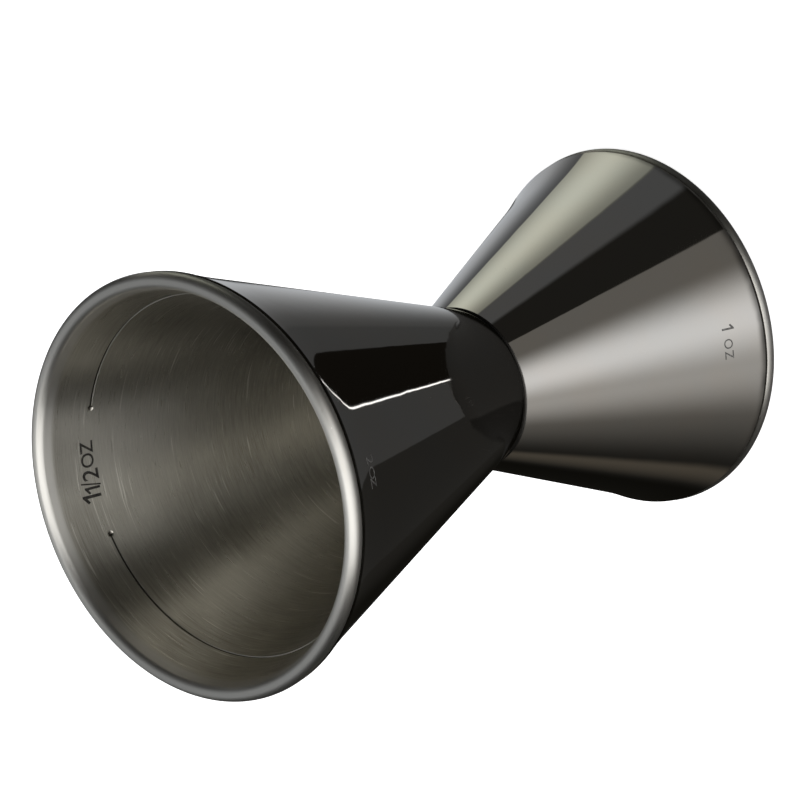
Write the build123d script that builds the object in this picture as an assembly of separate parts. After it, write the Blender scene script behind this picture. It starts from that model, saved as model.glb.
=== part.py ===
"""Two-ended bar jigger: a 2 oz cup and a 1 oz cup, brazed floor to floor at a narrow waist.

Each cup is double-walled. A polished outer shell carries a brushed liner, whose mouth is
rolled outwards over the edge of the shell and brazed to it. The jigger stands on the small
cup's mouth with the large cup open upwards. Units are millimetres, +Z is up, and the origin
is the centre of the circle that the small cup's lip stands on. The measure marks face +X.
"""

from build123d import *
import math
import os

# Overall sizes of the two cups, each measured over its outer surfaces.
LARGE_RIM_DIAMETER = 58.2
LARGE_HEIGHT = 54.6
SMALL_RIM_DIAMETER = 50.0
SMALL_HEIGHT = 36.4
WAIST_DIAMETER = 22.0

# Sheet, and the air between a shell and its liner, measured square to the wall.
SHELL_WALL = 0.7
LINER_WALL = 0.7
WALL_GAP = 0.8

# Rolled lip: the section's diameter, and the narrow ring polished flat along its crest.
LIP_DIAMETER = 2.3
LIP_LAND = 0.5

# The shell's mouth flares out to meet the rolled lip, and stops just under it.
FLARE_LENGTH = 6.0
FLARE_INSET = 0.18
LIP_CLEARANCE = 0.03

# Floors: outer corner of each shell, inner corner of each liner.
SHELL_CORNER_RADIUS = 0.45
LINER_CORNER_RADIUS = 2.0

# Brazed joints: between the floors, and the fillets under the lips.
FLOOR_BRAZE_THICKNESS = 0.15
WAIST_BRAZE_SETBACK = 0.15
LIP_BRAZE_ROOT = 0.5
LIP_BRAZE_ANGLE = 38.0

# Measuring line cut inside the large cup, with a break in it for the number.
FLUID_OUNCE = 29573.5
LINE_OUNCES = 1.5
LINE_WIDTH = 0.36
LINE_DEPTH = 0.16
LINE_BREAK_ANGLE = 41.0
LINE_PIT_RADIUS = 0.5
LINE_PIT_DEPTH = 0.22

SEAM_HEIGHT = SMALL_HEIGHT
TOTAL_HEIGHT = SMALL_HEIGHT + LARGE_HEIGHT


class CupShape:
    """Section of one cup in (radius, height), with height counted from the seam to the mouth."""

    def __init__(self, rim_diameter, height):
        lip_radius = LIP_DIAMETER / 2
        self.height = height
        self.lip_radius = lip_radius
        self.total_wall = SHELL_WALL + WALL_GAP + LINER_WALL
        # The lip's flat crest lies on the mouth plane.
        crest = math.sqrt(lip_radius**2 - (LIP_LAND / 2) ** 2)
        self.lip_centre = Vector(rim_diameter / 2 - lip_radius, height - crest)
        # The shell's line runs from the waist and passes the lip's centre at a set distance.
        self.waist = Vector(WAIST_DIAMETER / 2, 0)
        reach = self.lip_centre - self.waist
        lean = math.atan2(reach.X, reach.Y)
        side = math.asin((self.total_wall - lip_radius) / reach.length)
        self.half_angle = lean + side
        self.along = Vector(math.sin(self.half_angle), math.cos(self.half_angle))
        self.inward = Vector(-math.cos(self.half_angle), math.sin(self.half_angle))

    def wall_point(self, depth, level):
        """Point on the wall at a depth square to the shell's outer face, at a given height."""
        foot = self.waist + self.inward * depth
        run = (level - foot.Y) / self.along.Y
        return foot + self.along * run

    def shell_edge_level(self):
        """Height at which the shell stops, just under the rolled lip."""
        return self.lip_centre.Y - self.lip_radius - LIP_CLEARANCE

    def floor_levels(self):
        """Heights of the shell's underside, the face between the floors and the liner's floor."""
        under = FLOOR_BRAZE_THICKNESS / 2
        between = under + SHELL_WALL
        return under, between, between + LINER_WALL

    def inner_floor_radius(self):
        """Radius at which the liner's inner face would meet its floor without a corner."""
        return self.wall_point(self.total_wall, self.floor_levels()[2]).X

    def line_radius(self):
        """Inner radius at the level that holds LINE_OUNCES."""
        slope = math.tan(self.half_angle)
        cube = self.inner_floor_radius() ** 3
        cube += 3 * LINE_OUNCES * FLUID_OUNCE * slope / math.pi
        return cube ** (1 / 3)

    def brim_ounces(self):
        """What the cup holds when it is full to the mouth."""
        slope = math.tan(self.half_angle)
        brim = self.wall_point(self.total_wall, self.height).X
        volume = math.pi / (3 * slope) * (brim**3 - self.inner_floor_radius() ** 3)
        return volume / FLUID_OUNCE


def spin(edges):
    """Turn a closed outline, given as (radius, height) edges, into a solid about Z."""
    face = make_face(edges)
    return revolve(Plane.XZ * face, Axis.Z, 360)


def shell_corner(cup, wall_depth, level, radius):
    """Arc between a floor at the given level and the wall, as its floor end, middle and wall end."""
    centre = cup.wall_point(wall_depth, level + radius)
    centre = Vector(centre.X - radius / math.cos(cup.half_angle), level + radius)
    floor_end = Vector(centre.X, level)
    wall_end = centre - cup.inward * radius
    middle = centre + ((floor_end + wall_end) * 0.5 - centre).normalized() * radius
    return floor_end, middle, wall_end


def build_shell(cup):
    """Outer shell: flat floor, straight cone, and a flared mouth trimmed level under the lip."""
    edge_level = cup.shell_edge_level()
    under, between, _ = cup.floor_levels()
    floor_end, corner, wall_end = shell_corner(cup, 0, under, SHELL_CORNER_RADIUS)
    flare_foot = cup.wall_point(0, edge_level - FLARE_LENGTH)
    flare_tip = Vector(cup.lip_centre.X + cup.lip_radius - FLARE_INSET, edge_level)
    flare = TangentArc(flare_foot, flare_tip, tangent=cup.along)
    tip_along = (flare % 1).normalized()
    inner_tip = flare_tip + Vector(-tip_along.Y, tip_along.X) * SHELL_WALL
    inner_foot = flare_foot + cup.inward * SHELL_WALL
    inner_corner = cup.wall_point(SHELL_WALL, between)
    edges = [
        Line((0, under), floor_end),
        ThreePointArc(floor_end, corner, wall_end),
        Line(wall_end, flare_foot),
        flare,
        Line(flare_tip, inner_tip),
        TangentArc(inner_foot, inner_tip, tangent=cup.along),
        Line(inner_foot, inner_corner),
        Line(inner_corner, (0, between)),
        Line((0, between), (0, under)),
    ]
    return split(spin(edges), Plane.XY.offset(edge_level), Keep.BOTTOM)


def lip_arc(cup, radius, start, end):
    """Arc about the lip's centre between two directions, in degrees from straight outwards."""
    return CenterArc(cup.lip_centre, radius, start, end - start)


def build_liner(cup):
    """Liner: flat floor, straight cone, and a mouth rolled outwards into a hollow lip."""
    _, between, floor = cup.floor_levels()
    bore = cup.lip_radius - LINER_WALL
    wall_side = 180 - math.degrees(cup.half_angle)
    crest = math.degrees(math.asin(LIP_LAND / 2 / cup.lip_radius))
    outer_radius = LINER_CORNER_RADIUS + LINER_WALL
    low_in, mid_in, high_in = shell_corner(cup, cup.total_wall, floor, LINER_CORNER_RADIUS)
    low_out, mid_out, high_out = shell_corner(
        cup, SHELL_WALL + WALL_GAP, between, outer_radius
    )
    over_inside = lip_arc(cup, cup.lip_radius, wall_side, 90 + crest)
    over_outside = lip_arc(cup, cup.lip_radius, 90 - crest, -90)
    roll_bore = lip_arc(cup, bore, wall_side, -90)
    edges = [
        Line((0, floor), low_in),
        ThreePointArc(low_in, mid_in, high_in),
        Line(high_in, over_inside @ 0),
        over_inside,
        Line(over_inside @ 1, over_outside @ 0),
        over_outside,
        Line(over_outside @ 1, roll_bore @ 1),
        roll_bore,
        Line(roll_bore @ 0, high_out),
        ThreePointArc(high_out, mid_out, low_out),
        Line(low_out, (0, between)),
        Line((0, between), (0, floor)),
    ]
    return spin(edges)


def cut_measuring_line(cup, liner):
    """Cut the measuring line, broken on the -X side, and a shallow pit at each of its ends."""
    radius = cup.line_radius()
    rise = (radius - cup.inner_floor_radius()) / math.tan(cup.half_angle)
    centre = Vector(radius, cup.floor_levels()[2] + rise)
    mouth = cup.along * (LINE_WIDTH / 2)
    root = cup.along * (LINE_WIDTH / 4)
    into = cup.inward * LINE_DEPTH
    corners = [centre + mouth + into, centre - mouth + into]
    corners += [centre - root - into, centre + root - into]
    section = make_face(Polyline(*corners, close=True))
    start = 180 + LINE_BREAK_ANGLE / 2
    sweep = 360 - LINE_BREAK_ANGLE
    cutter = revolve(Plane.XZ * section, Axis.Z, sweep)
    result = liner - Rot(0, 0, start) * cutter
    pit_centre = centre + cup.inward * (LINE_PIT_RADIUS - LINE_PIT_DEPTH)
    pit = Pos(pit_centre.X, 0, pit_centre.Y) * Sphere(LINE_PIT_RADIUS)
    for angle in (start, start + sweep):
        result -= Rot(0, 0, angle) * pit
    return result


def build_lip_braze(cup):
    """Fillet of braze that closes the notch between the rolled lip and the shell's edge."""
    shell_tip = Vector(cup.lip_centre.X + cup.lip_radius - FLARE_INSET, cup.shell_edge_level())
    foot = Vector(cup.lip_centre.X + LIP_BRAZE_ROOT, cup.shell_edge_level())
    root_angle = -math.degrees(math.acos(LIP_BRAZE_ROOT / cup.lip_radius))
    against_lip = lip_arc(cup, cup.lip_radius, root_angle, -LIP_BRAZE_ANGLE)
    edges = [
        Line(foot, against_lip @ 0),
        against_lip,
        Line(against_lip @ 1, shell_tip),
        Line(shell_tip, foot),
    ]
    return spin(edges)


def braze_side(cup):
    """Line and arc of the floor braze against one shell, out to where the braze ends."""
    under = cup.floor_levels()[0]
    floor_end, _, _ = shell_corner(cup, 0, under, SHELL_CORNER_RADIUS)
    centre_level = under + SHELL_CORNER_RADIUS
    rim = WAIST_DIAMETER / 2 - WAIST_BRAZE_SETBACK
    start = -90
    end = -math.degrees(math.acos((rim - floor_end.X) / SHELL_CORNER_RADIUS))
    arc = CenterArc((floor_end.X, centre_level), SHELL_CORNER_RADIUS, start, end - start)
    return Line((0, under), floor_end), arc


def build_waist_braze(large, small):
    """Braze between the two floors, wicked out into the groove between the shells' corners."""
    large_floor, large_arc = braze_side(large)
    small_floor, small_arc = braze_side(small)
    small_floor = mirror(small_floor, Plane.XZ)
    small_arc = mirror(small_arc, Plane.XZ)
    edges = [
        large_floor,
        large_arc,
        Line(large_arc @ 1, small_arc @ 1),
        small_arc,
        small_floor,
        Line(small_floor @ 0, large_floor @ 0),
    ]
    return spin(edges)


def place(name, solid, up):
    """Stand a piece in the jigger, upright or upside down about the seam, and write it out."""
    turn = Rot(0, 0, 0) if up else Rot(180, 0, 0)
    placed = Pos(0, 0, SEAM_HEIGHT) * turn * solid
    placed.label = name
    export_step(placed, "parts/" + name + ".step")
    return placed


def main():
    """Build and write every piece, and report what each cup holds."""
    os.makedirs("parts", exist_ok=True)
    large = CupShape(LARGE_RIM_DIAMETER, LARGE_HEIGHT)
    small = CupShape(SMALL_RIM_DIAMETER, SMALL_HEIGHT)
    place("large_shell", build_shell(large), True)
    place("large_liner", cut_measuring_line(large, build_liner(large)), True)
    place("large_lip_braze", build_lip_braze(large), True)
    place("small_shell", build_shell(small), False)
    place("small_liner", build_liner(small), False)
    place("small_lip_braze", build_lip_braze(small), False)
    place("waist_braze", build_waist_braze(large, small), True)
    print("height", TOTAL_HEIGHT)
    for name, cup in (("large", large), ("small", small)):
        print(name, "cup holds", round(cup.brim_ounces(), 3), "oz to the brim")
        print(name, "half angle", round(math.degrees(cup.half_angle), 2))
    print("measuring line at radius", round(large.line_radius(), 2))


main()
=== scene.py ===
"""Looks of the two-ended bar jigger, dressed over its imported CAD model.

The jigger stands on its small cup with the large cup open upwards. Each cup is a polished
outer shell over a brushed liner, whose mouth is rolled outwards and brazed to the shell.
Everything is in metres in the CAD model's own frame, +Z up, with the measure marks on +X.
"""

import logging
import math
from dataclasses import dataclass, field
from enum import Enum
from typing import Iterable, Optional, Sequence

import bmesh
import bpy
from mathutils import Matrix, Vector


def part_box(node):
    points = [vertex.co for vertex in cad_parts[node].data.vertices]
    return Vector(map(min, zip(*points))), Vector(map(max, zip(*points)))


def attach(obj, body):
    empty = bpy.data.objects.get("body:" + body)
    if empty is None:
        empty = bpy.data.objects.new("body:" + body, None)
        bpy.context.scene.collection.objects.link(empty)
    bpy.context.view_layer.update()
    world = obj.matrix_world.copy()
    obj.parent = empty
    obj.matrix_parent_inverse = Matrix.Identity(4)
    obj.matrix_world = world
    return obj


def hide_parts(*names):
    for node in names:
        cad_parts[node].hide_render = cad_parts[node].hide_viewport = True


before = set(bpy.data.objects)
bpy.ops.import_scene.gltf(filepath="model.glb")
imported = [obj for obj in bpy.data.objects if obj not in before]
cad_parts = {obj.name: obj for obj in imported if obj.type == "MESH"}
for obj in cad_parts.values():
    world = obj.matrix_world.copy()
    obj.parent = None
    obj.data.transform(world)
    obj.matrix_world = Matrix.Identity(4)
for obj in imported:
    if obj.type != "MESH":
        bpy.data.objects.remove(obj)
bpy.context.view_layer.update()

log = logging.getLogger("jigger")

MM = 0.001

# Meshes: columns once round and extra ones at each pit, steps along the sections' main
# faces, and what is merged or kept sharp.
SEGMENTS = 384
CLOSE_UP_COLUMNS = 36
CORNER_STEPS = 10
WALL_STEPS = 24
FLARE_STEPS = 28
LIP_INSIDE_STEPS = 20
LIP_OUTSIDE_STEPS = 44
MERGE_DISTANCE = 0.0002 * MM
GLYPH_MERGE_DISTANCE = 0.002 * MM
CUT_TOLERANCE = 1e-7
SHARP_ANGLE = math.radians(32)

# The measuring line: how near the liner's inner face a point counts as on it, and the
# attribute that keeps how deep each point was pressed, as a share of the line's depth.
INNER_FACE_REACH = 0.1 * MM
PRESSED = "pressed"

# The small nick in the large lip.
NICK_PLACE = Vector((26.05 * MM, 11.0 * MM, 90.5 * MM))

# Where the camera stands and where the studio's lights are counted from.
FRONT_AZIMUTH = math.radians(16)
FRONT_ELEVATION = math.radians(45)

# Bands of tilt, in degrees, that the large cup's wall, the waist, the small cup's wall
# and the lips and liners reflect.
LOW_RING = (-90.0, -13.0)
MIDDLE_RING = (-14.5, 2.0)
HIGH_RING = (12.0, 25.7)
TOP_RING = (34.0, 90.0)

# Tilt at which the large cup's straight wall reflects, in degrees. Below it, on the flare,
# a leaning card's edge moves off by this much for each square degree of tilt.
WALL_TILT = -19.4
LEAN_PER_SQUARE_DEGREE = -0.28


class Slot(Enum):
    """Material slots of the CAD record."""

    MIRROR = "black_mirror"
    BRUSHED = "brushed_liner"
    BRAZE = "braze"


class Way(Enum):
    """Which way a cup opens from the waist."""

    UP = 1
    DOWN = -1


# ---------------------------------------------------------------------------
# Node helpers
# ---------------------------------------------------------------------------


class NodeWriter:
    """Adds nodes to one tree and joins them up."""

    def __init__(self, tree: bpy.types.NodeTree) -> None:
        """Start writing into a tree.

        Args:
            tree: The node tree that receives the nodes.
        """
        self.tree = tree

    def add(self, kind: str, **settings: object) -> bpy.types.Node:
        """Add one node.

        Args:
            kind: The node's Blender type name.
            settings: Attributes to set on the node.

        Returns:
            The new node.
        """
        node = self.tree.nodes.new(kind)
        for name, value in settings.items():
            setattr(node, name, value)
        return node

    def feed(self, target: bpy.types.NodeSocket, value: object) -> None:
        """Give an input socket a value, or a link if the value is a socket.

        Args:
            target: The input socket.
            value: A number, a vector, a datablock or an output socket.
        """
        if isinstance(value, bpy.types.NodeSocket):
            self.tree.links.new(value, target)
        else:
            target.default_value = value

    def math(self, operation: str, *values: object) -> bpy.types.NodeSocket:
        """Add a Math node.

        Args:
            operation: The node's operation.
            values: Its inputs, as numbers or output sockets.

        Returns:
            The node's output.
        """
        node = self.add("ShaderNodeMath", operation=operation)
        for socket, value in zip(node.inputs, values):
            self.feed(socket, value)
        return node.outputs[0]

    def ramp(
        self, value: object, low: object, high: object, smooth: bool = True
    ) -> bpy.types.NodeSocket:
        """Map a value to 0 at low and 1 at high, and hold it beyond them.

        Args:
            value: What is mapped.
            low: The value that gives 0.
            high: The value that gives 1.
            smooth: Whether the ramp eases in and out.

        Returns:
            The mapped value.
        """
        kind = "SMOOTHSTEP" if smooth else "LINEAR"
        node = self.add("ShaderNodeMapRange", interpolation_type=kind)
        self.feed(node.inputs["Value"], value)
        self.feed(node.inputs["From Min"], low)
        self.feed(node.inputs["From Max"], high)
        return node.outputs[0]

    def split(self, vector: object) -> tuple[bpy.types.NodeSocket, ...]:
        """Part a vector into its x, y and z.

        Args:
            vector: The vector, or its socket.

        Returns:
            The three outputs.
        """
        node = self.add("ShaderNodeSeparateXYZ")
        self.feed(node.inputs[0], vector)
        return tuple(node.outputs)

    def join(self, x: object, y: object, z: object) -> bpy.types.NodeSocket:
        """Put x, y and z together as a vector.

        Args:
            x: The x value or socket.
            y: The y value or socket.
            z: The z value or socket.

        Returns:
            The vector's output.
        """
        node = self.add("ShaderNodeCombineXYZ")
        for socket, value in zip(node.inputs, (x, y, z)):
            self.feed(socket, value)
        return node.outputs[0]

    def blend(self, share: object, first: object, second: object) -> bpy.types.NodeSocket:
        """Mix two colours.

        Args:
            share: How much of the second colour shows, from 0 to 1.
            first: The colour at 0.
            second: The colour at 1.

        Returns:
            The mixed colour.
        """
        node = self.add("ShaderNodeMix", data_type="RGBA")
        self.feed(node.inputs[0], share)
        self.feed(node.inputs[6], first)
        self.feed(node.inputs[7], second)
        return node.outputs[2]

    def between(self, share: object, first: object, second: object) -> bpy.types.NodeSocket:
        """Mix two numbers.

        Args:
            share: How much of the second number counts, from 0 to 1.
            first: The number at 0.
            second: The number at 1.

        Returns:
            The mixed number.
        """
        node = self.add("ShaderNodeMix", data_type="FLOAT")
        self.feed(node.inputs[0], share)
        self.feed(node.inputs[2], first)
        self.feed(node.inputs[3], second)
        return node.outputs[0]


def new_group(
    name: str, kind: str, inputs: Sequence[tuple], outputs: Sequence[tuple]
) -> tuple[NodeWriter, bpy.types.Node, bpy.types.Node]:
    """Start a node group with named inputs and outputs.

    Args:
        name: The group's name.
        kind: The tree type.
        inputs: Pairs of socket name and type, with a default value third where one is given.
        outputs: Pairs of socket name and type.

    Returns:
        The writer for the group, its input node and its output node.
    """
    tree = bpy.data.node_groups.new(name, kind)
    for title, socket_type, *default in inputs:
        socket = tree.interface.new_socket(
            name=title, in_out="INPUT", socket_type=socket_type
        )
        if default:
            socket.default_value = default[0]
    for title, socket_type, *_ in outputs:
        tree.interface.new_socket(name=title, in_out="OUTPUT", socket_type=socket_type)
    writer = NodeWriter(tree)
    return writer, writer.add("NodeGroupInput"), writer.add("NodeGroupOutput")


# ---------------------------------------------------------------------------
# Turning: sections spun round the jigger's axis
# ---------------------------------------------------------------------------

def arc_points(
    centre: Vector, radius: float, start: float, end: float, steps: int
) -> list[Vector]:
    """Points along an arc in a section.

    Args:
        centre: The arc's centre, as (radius, height).
        radius: The arc's own radius.
        start: Direction of the first point, in radians from straight outwards.
        end: Direction of the last point.
        steps: How many straight runs stand for the arc.

    Returns:
        The points, both ends included.
    """
    points = []
    for step in range(steps + 1):
        angle = start + (end - start) * step / steps
        points.append(centre + Vector((math.cos(angle), math.sin(angle))) * radius)
    return points


def line_points(start: Vector, end: Vector, steps: int) -> list[Vector]:
    """Points along a straight run of a section.

    Args:
        start: The first point.
        end: The last point.
        steps: How many equal steps part them.

    Returns:
        The points, both ends included.
    """
    return [start.lerp(end, step / steps) for step in range(steps + 1)]


def turn_angles(segments: int, close_ups: Iterable[tuple[float, float]] = ()) -> list[float]:
    """Angles of the columns of a turned mesh, once round.

    Args:
        segments: How many even columns go round.
        close_ups: Angle and half width of each place that gets fine columns.

    Returns:
        The angles in radians from 0 to a full turn, both included.
    """
    full = 2 * math.pi
    angles = [full * step / segments for step in range(segments + 1)]
    for centre, half_width in close_ups:
        angles = [angle for angle in angles if abs(angle - centre) > half_width]
        for step in range(CLOSE_UP_COLUMNS + 1):
            angles.append(centre + half_width * (2 * step / CLOSE_UP_COLUMNS - 1))
    return sorted(angles)


def turned_body_tree() -> bpy.types.NodeTree:
    """Make the tree that spins a section round Z into a closed skin.

    Returns:
        The geometry tree, with the section as its geometry.
    """
    writer, source, sink = new_group(
        "turned_body",
        "GeometryNodeTree",
        [
            ("Section", "NodeSocketGeometry"),
            ("Turns", "NodeSocketObject"),
            ("Merge Distance", "NodeSocketFloat", MERGE_DISTANCE),
            ("Finish", "NodeSocketMaterial"),
        ],
        [("Body", "NodeSocketGeometry")],
    )
    turns = writer.add("GeometryNodeObjectInfo", transform_space="ORIGINAL")
    writer.feed(turns.inputs["Object"], source.outputs["Turns"])
    counts = []
    for geometry in (source.outputs["Section"], turns.outputs["Geometry"]):
        size = writer.add("GeometryNodeAttributeDomainSize", component="MESH")
        writer.feed(size.inputs["Geometry"], geometry)
        counts.append(size.outputs["Point Count"])
    rows, columns = counts
    grid = writer.add("GeometryNodeMeshGrid")
    writer.feed(grid.inputs["Vertices X"], rows)
    writer.feed(grid.inputs["Vertices Y"], columns)
    index = writer.add("GeometryNodeInputIndex").outputs[0]
    row = writer.math("FLOOR", writer.math("DIVIDE", index, columns))
    column = writer.math("SUBTRACT", index, writer.math("MULTIPLY", row, columns))
    position = writer.add("GeometryNodeInputPosition").outputs[0]
    samples = []
    for geometry, place in (
        (source.outputs["Section"], row),
        (turns.outputs["Geometry"], column),
    ):
        sample = writer.add("GeometryNodeSampleIndex", data_type="FLOAT_VECTOR")
        writer.feed(sample.inputs["Geometry"], geometry)
        writer.feed(sample.inputs["Value"], position)
        writer.feed(sample.inputs["Index"], place)
        samples.append(writer.split(sample.outputs["Value"]))
    radius, _, height = samples[0]
    angle = samples[1][0]
    x = writer.math("MULTIPLY", radius, writer.math("COSINE", angle))
    y = writer.math("MULTIPLY", radius, writer.math("SINE", angle))
    place = writer.add("GeometryNodeSetPosition")
    writer.feed(place.inputs["Geometry"], grid.outputs["Mesh"])
    writer.feed(place.inputs["Position"], writer.join(x, y, height))
    merge = writer.add("GeometryNodeMergeByDistance")
    writer.feed(merge.inputs["Geometry"], place.outputs["Geometry"])
    writer.feed(merge.inputs["Distance"], source.outputs["Merge Distance"])
    smooth = writer.add("GeometryNodeSetShadeSmooth")
    writer.feed(smooth.inputs["Geometry"], merge.outputs["Geometry"])
    real = writer.add("GeometryNodeRealizeInstances")
    writer.feed(real.inputs["Geometry"], smooth.outputs["Geometry"])
    dress = writer.add("GeometryNodeSetMaterial")
    writer.feed(dress.inputs["Geometry"], real.outputs["Geometry"])
    writer.feed(dress.inputs["Material"], source.outputs["Finish"])
    writer.feed(sink.inputs["Body"], dress.outputs["Geometry"])
    return writer.tree


def measuring_line_tree() -> bpy.types.NodeTree:
    """Make the tree that presses a broken measuring line, with end pits, into a liner.

    Returns:
        The geometry tree, with the liner's mesh as its geometry.
    """
    writer, source, sink = new_group(
        "measuring_line",
        "GeometryNodeTree",
        [
            ("Liner", "NodeSocketGeometry"),
            ("Line Radius", "NodeSocketFloat"),
            ("Line Level", "NodeSocketFloat"),
            ("Half Angle", "NodeSocketFloat"),
            ("Line Width", "NodeSocketFloat"),
            ("Line Depth", "NodeSocketFloat"),
            ("Break Angle", "NodeSocketFloat"),
            ("Pit Radius", "NodeSocketFloat"),
            ("Pit Depth", "NodeSocketFloat"),
            ("Finish", "NodeSocketMaterial"),
        ],
        [("Liner", "NodeSocketGeometry")],
    )
    given = source.outputs
    x, y, z = writer.split(writer.add("GeometryNodeInputPosition").outputs[0])
    radius = writer.math(
        "SQRT",
        writer.math("ADD", writer.math("MULTIPLY", x, x), writer.math("MULTIPLY", y, y)),
    )
    out = writer.math("SUBTRACT", radius, given["Line Radius"])
    rise = writer.math("SUBTRACT", z, given["Line Level"])
    sine = writer.math("SINE", given["Half Angle"])
    cosine = writer.math("COSINE", given["Half Angle"])
    along = writer.math(
        "ADD", writer.math("MULTIPLY", out, sine), writer.math("MULTIPLY", rise, cosine)
    )
    depth = writer.math(
        "SUBTRACT", writer.math("MULTIPLY", out, cosine), writer.math("MULTIPLY", rise, sine)
    )
    # Only the liner's inner face is pressed, so its outer face is told apart by its depth.
    inner = writer.math("LESS_THAN", writer.math("ABSOLUTE", depth), INNER_FACE_REACH)
    # The angle is counted from the break's centre, on -X, and is the same on both sides.
    angle = writer.math("ABSOLUTE", writer.math("ARCTAN2", y, writer.math("MULTIPLY", x, -1.0)))
    beyond = writer.math(
        "SUBTRACT", angle, writer.math("MULTIPLY", given["Break Angle"], 0.5)
    )
    round_way = writer.math("MULTIPLY", beyond, given["Line Radius"])
    half_width = writer.math("MULTIPLY", given["Line Width"], 0.5)
    away = writer.math("ABSOLUTE", along)
    side = writer.ramp(away, half_width, writer.math("MULTIPLY", half_width, 0.5), False)
    started = writer.math("GREATER_THAN", round_way, 0.0)
    groove = writer.math("MULTIPLY", writer.math("MULTIPLY", side, started), given["Line Depth"])
    distance = writer.math(
        "ADD",
        writer.math("MULTIPLY", along, along),
        writer.math("MULTIPLY", round_way, round_way),
    )
    ball = writer.math("MULTIPLY", given["Pit Radius"], given["Pit Radius"])
    left = writer.math("MAXIMUM", writer.math("SUBTRACT", ball, distance), 0.0)
    reach = writer.math("SQRT", left)
    lift = writer.math("SUBTRACT", given["Pit Radius"], given["Pit Depth"])
    pit = writer.math("MAXIMUM", writer.math("SUBTRACT", reach, lift), 0.0)
    press = writer.math("MULTIPLY", writer.math("MAXIMUM", groove, pit), inner)
    outwards = writer.math("DIVIDE", writer.math("MULTIPLY", press, cosine), radius)
    offset = writer.join(
        writer.math("MULTIPLY", x, outwards),
        writer.math("MULTIPLY", y, outwards),
        writer.math("MULTIPLY", writer.math("MULTIPLY", press, sine), -1.0),
    )
    keep = writer.add("GeometryNodeStoreNamedAttribute", data_type="FLOAT", domain="POINT")
    writer.feed(keep.inputs["Geometry"], given["Liner"])
    writer.feed(keep.inputs["Name"], PRESSED)
    writer.feed(keep.inputs["Value"], writer.math("DIVIDE", press, given["Line Depth"]))
    place = writer.add("GeometryNodeSetPosition")
    writer.feed(place.inputs["Geometry"], keep.outputs["Geometry"])
    writer.feed(place.inputs["Offset"], offset)
    real = writer.add("GeometryNodeRealizeInstances")
    writer.feed(real.inputs["Geometry"], place.outputs["Geometry"])
    dress = writer.add("GeometryNodeSetMaterial")
    writer.feed(dress.inputs["Geometry"], real.outputs["Geometry"])
    writer.feed(dress.inputs["Material"], given["Finish"])
    writer.feed(sink.inputs["Liner"], dress.outputs["Geometry"])
    return writer.tree


def run_tree(
    piece: bpy.types.Object, tree: bpy.types.NodeTree, values: dict[str, object]
) -> None:
    """Run a geometry tree on a piece and keep the result as its plain mesh.

    Args:
        piece: The object whose mesh goes through the tree.
        tree: The geometry tree.
        values: What each named input of the tree is set to.
    """
    modifier = piece.modifiers.new(tree.name, "NODES")
    modifier.node_group = tree
    for item in tree.interface.items_tree:
        if item.item_type == "SOCKET" and item.in_out == "INPUT" and item.name in values:
            modifier[item.identifier] = values[item.name]
    depsgraph = bpy.context.evaluated_depsgraph_get()
    made = bpy.data.meshes.new_from_object(piece.evaluated_get(depsgraph))
    piece.modifiers.remove(modifier)
    old = piece.data
    piece.data = made
    bpy.data.meshes.remove(old)
    made.name = piece.name


def points_object(name: str, points: Sequence[tuple[float, float, float]]) -> bpy.types.Object:
    """Make a mesh object of bare points, as a tree's raw material.

    Args:
        name: The object's name.
        points: The points in order.

    Returns:
        The object, linked to the scene.
    """
    mesh = bpy.data.meshes.new(name)
    mesh.from_pydata(points, [], [])
    made = bpy.data.objects.new(name, mesh)
    bpy.context.scene.collection.objects.link(made)
    return made


def face_outwards(piece: bpy.types.Object) -> None:
    """Turn a closed piece's faces outwards and mark its sharp edges.

    Args:
        piece: The closed piece.
    """
    shape = bmesh.new()
    shape.from_mesh(piece.data)
    bmesh.ops.recalc_face_normals(shape, faces=shape.faces)
    shape.to_mesh(piece.data)
    shape.free()
    piece.data.set_sharp_from_angle(angle=SHARP_ANGLE)


class Lathe:
    """Turns sections into pieces with the shared geometry tree."""

    def __init__(self) -> None:
        """Build the shared tree."""
        self.tree = turned_body_tree()

    def turn(
        self,
        name: str,
        section: Sequence[Vector],
        angles: Sequence[float],
        finish: bpy.types.Material,
    ) -> bpy.types.Object:
        """Spin one closed section into a piece.

        Args:
            name: The piece's name.
            section: The outline's points as (radius, height), first point not repeated.
            angles: The angles of the mesh's columns.
            finish: The piece's material.

        Returns:
            The piece, as a plain closed mesh.
        """
        outline = [(p.x, 0.0, p.y) for p in section]
        outline.append(outline[0])
        piece = points_object(name, outline)
        rail = points_object(name + "_turns", [(angle, 0.0, 0.0) for angle in angles])
        run_tree(piece, self.tree, {"Turns": rail, "Finish": finish})
        bpy.data.objects.remove(rail)
        face_outwards(piece)
        return piece


# ---------------------------------------------------------------------------
# Shapes
# ---------------------------------------------------------------------------


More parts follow.
